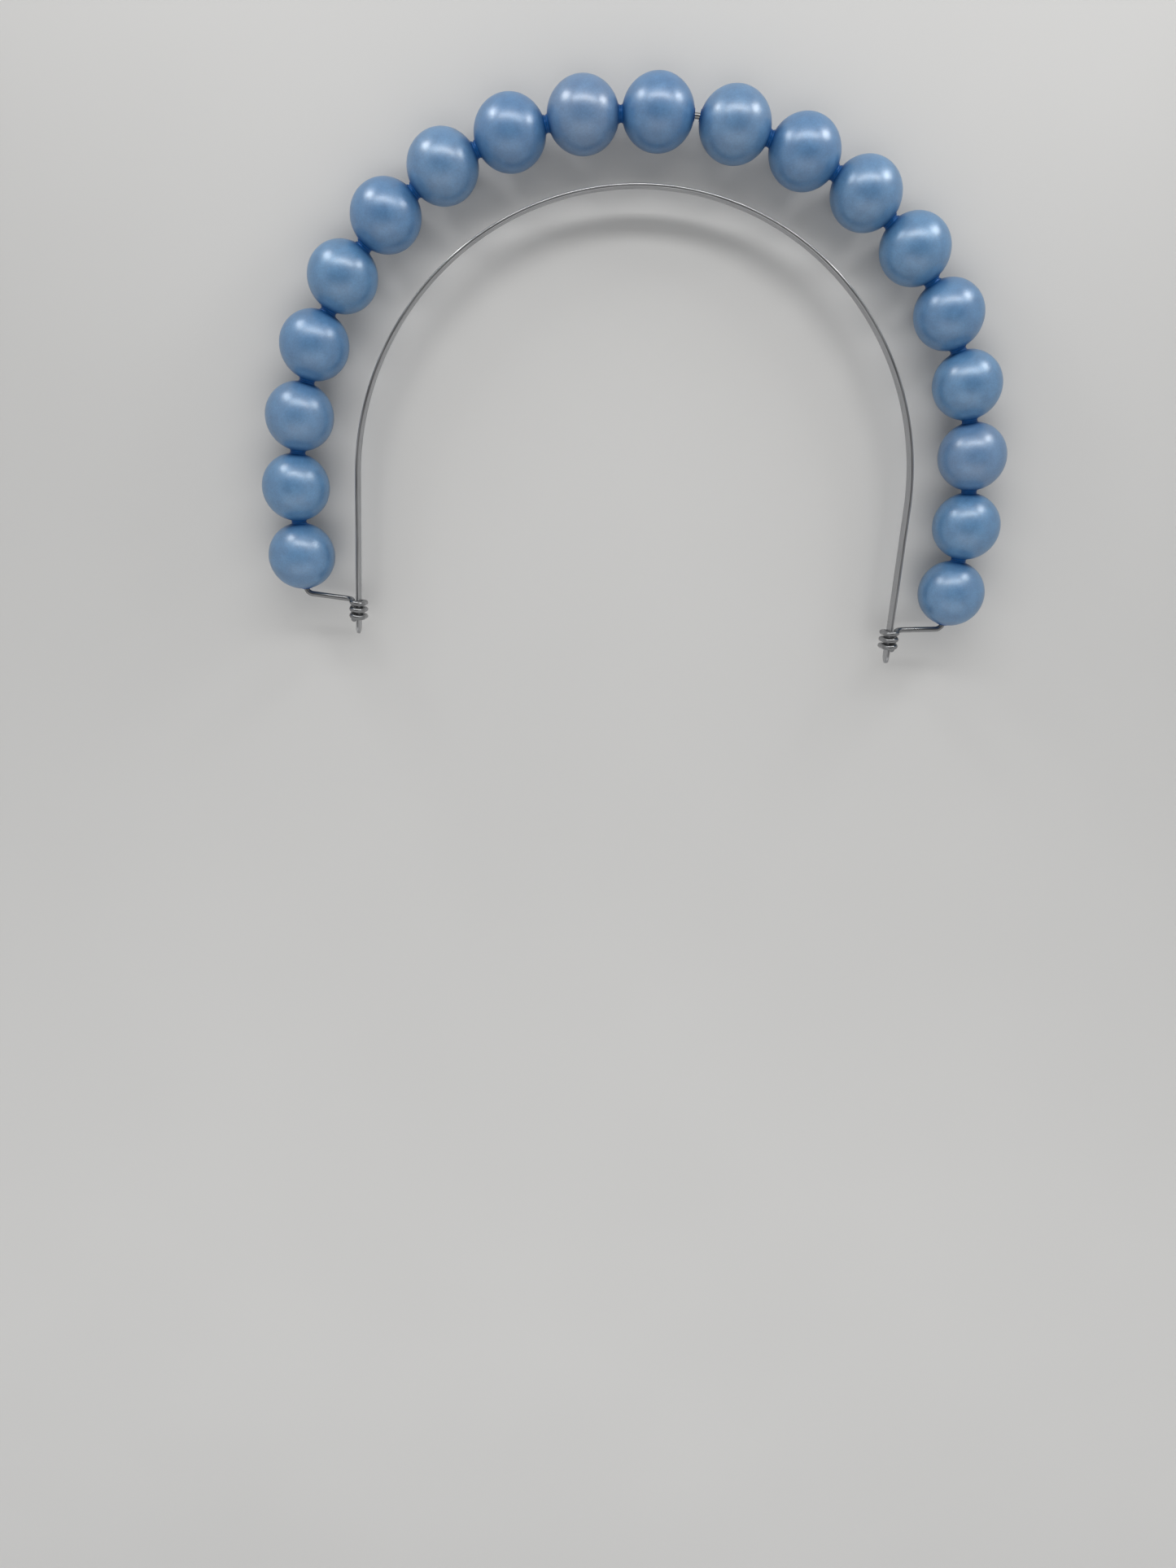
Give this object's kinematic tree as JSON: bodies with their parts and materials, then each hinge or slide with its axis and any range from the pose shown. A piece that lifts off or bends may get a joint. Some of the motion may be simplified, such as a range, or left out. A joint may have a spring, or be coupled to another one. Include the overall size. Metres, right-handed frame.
{
  "type": "beaded halo headpiece",
  "caption": "Arch of large pearl-coated beads on a bent steel wire, carried as a halo by a plain steel headband whose ends it is wound round.",
  "frame": {"origin": "on the surface that the piece lies on, under the middle of its outline", "axes": "+X from the left end to the right end as seen from the front, +Y towards the crown, +Z out of the front face"},
  "size_m": [0.2204, 0.1572, 0.0197],
  "materials": {
    "pearl_blue": "pearl coating with a satin sheen on moulded plastic",
    "drawn_steel": "bare drawn wire, satin",
    "rolled_steel": "rolled strip, satin"
  },
  "bodies": {
    "root": {"bead_01": "pearl_blue", "bead_02": "pearl_blue", "bead_03": "pearl_blue", "bead_04": "pearl_blue", "bead_05": "pearl_blue", "bead_06": "pearl_blue", "bead_07": "pearl_blue", "bead_08": "pearl_blue", "bead_09": "pearl_blue", "bead_10": "pearl_blue", "bead_11": "pearl_blue", "bead_12": "pearl_blue", "bead_13": "pearl_blue", "bead_14": "pearl_blue", "bead_15": "pearl_blue", "bead_16": "pearl_blue", "bead_17": "pearl_blue", "bead_18": "pearl_blue", "bead_19": "pearl_blue", "halo_wire": "drawn_steel", "headband": "rolled_steel"}
  },
  "joints": []
}
